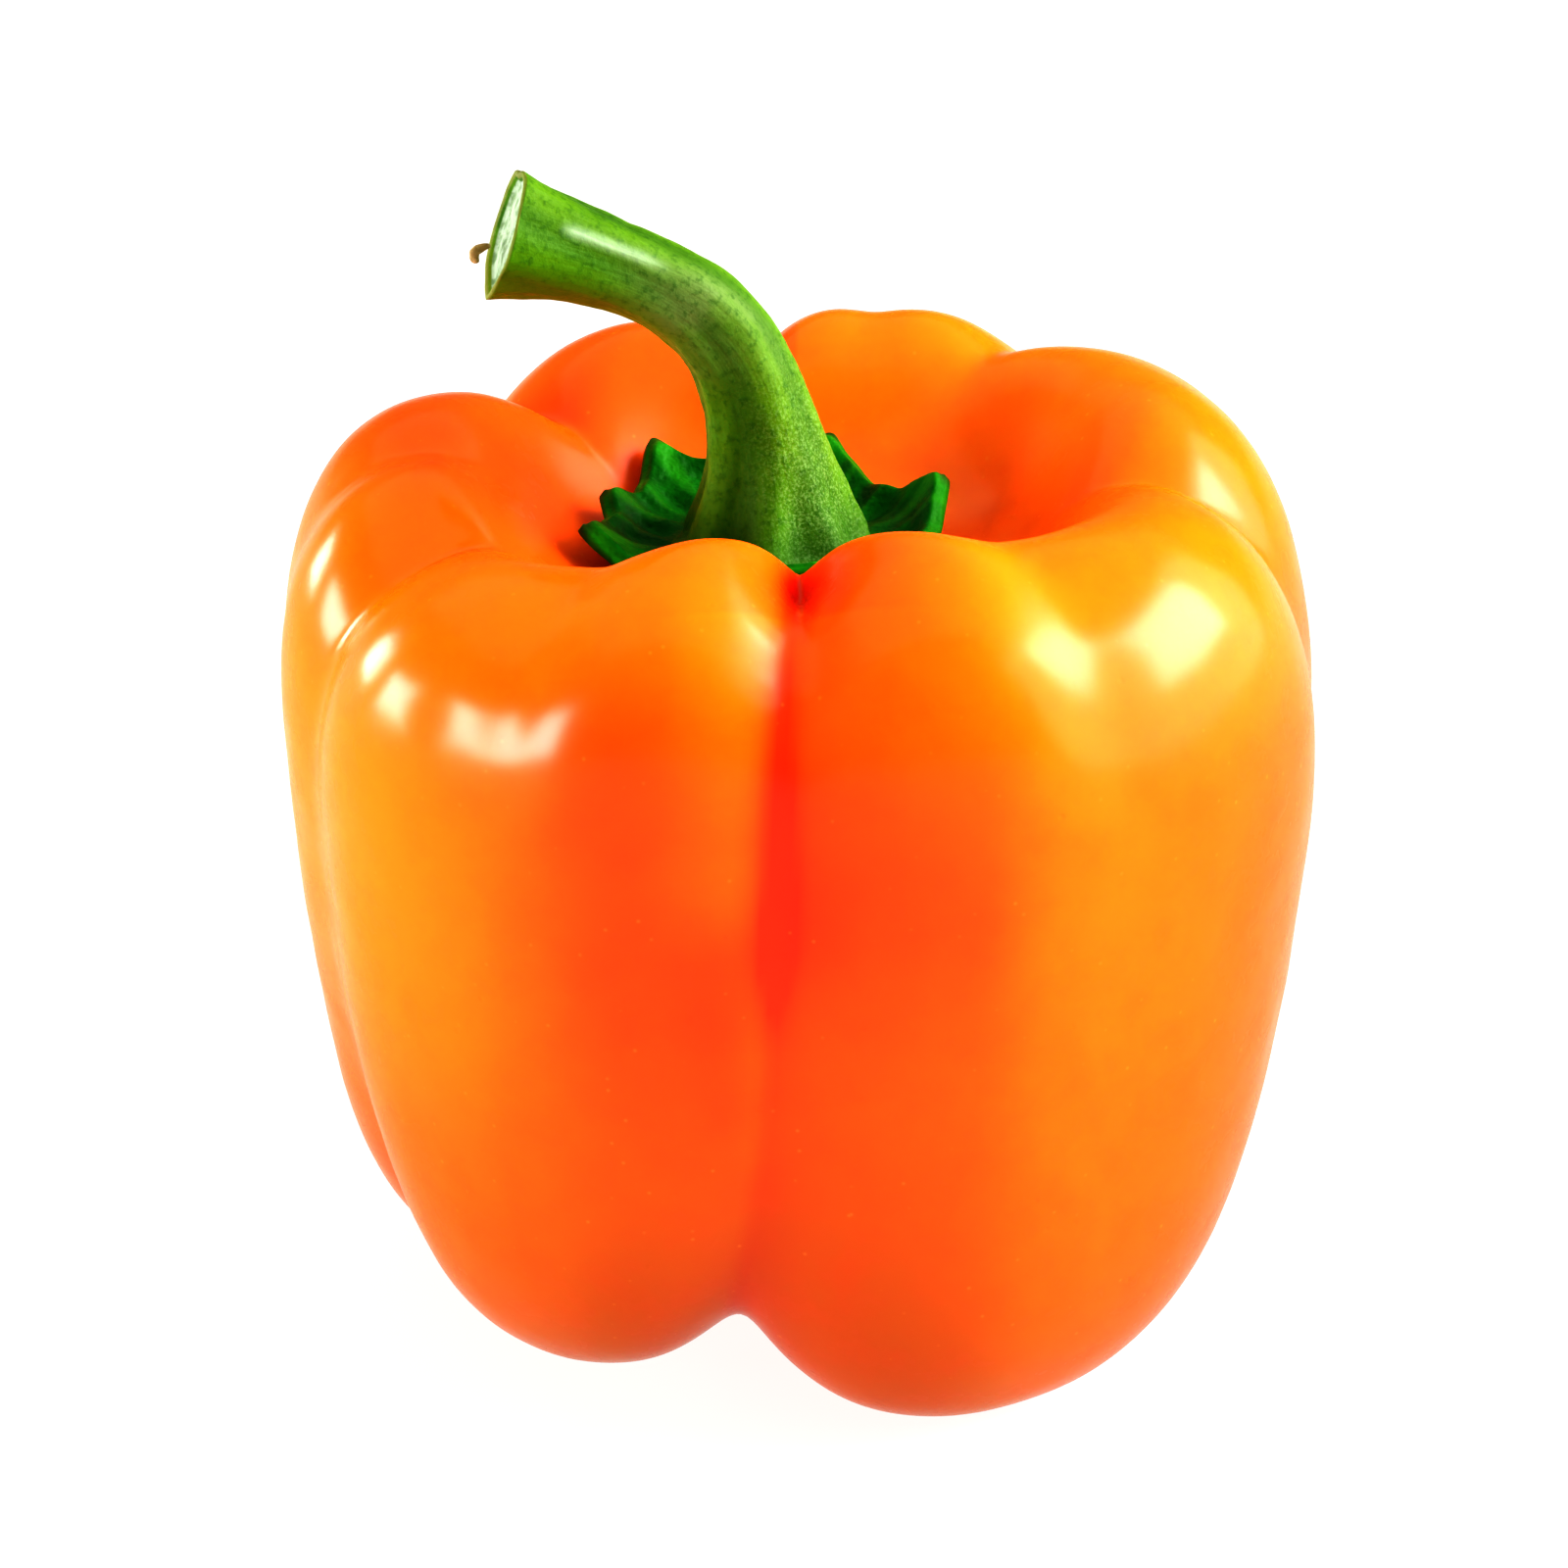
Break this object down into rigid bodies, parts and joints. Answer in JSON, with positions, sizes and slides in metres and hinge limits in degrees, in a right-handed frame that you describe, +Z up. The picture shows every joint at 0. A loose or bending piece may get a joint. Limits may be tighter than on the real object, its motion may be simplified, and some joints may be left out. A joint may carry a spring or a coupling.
{
  "type": "bell pepper",
  "caption": "Whole blocky orange bell pepper with a deep crown hollow, a leafy green calyx and a bent green stem; stands by itself on its lobed feet.",
  "frame": {"origin": "middle of the base of the pepper's bounding box, on the surface that its feet stand on", "axes": "+Z up, from the feet to the stem; -Y is the front, where the deep crease between the two front lobes faces; the stem bends towards -X"},
  "size_m": [0.0839, 0.0805, 0.0994],
  "materials": {
    "skin": "smooth waxy orange skin with a soft gloss, deeper red-orange in the creases and more yellow on the right flank",
    "calyx": "dark green leaf with a soft sheen and paler folds and tips",
    "stem": "fresh green ridged rind, mottled grey-green, with a pale cut end rimmed in brown"
  },
  "bodies": {
    "root": {"fruit": "skin", "calyx": "calyx", "stem": "stem"}
  },
  "joints": []
}
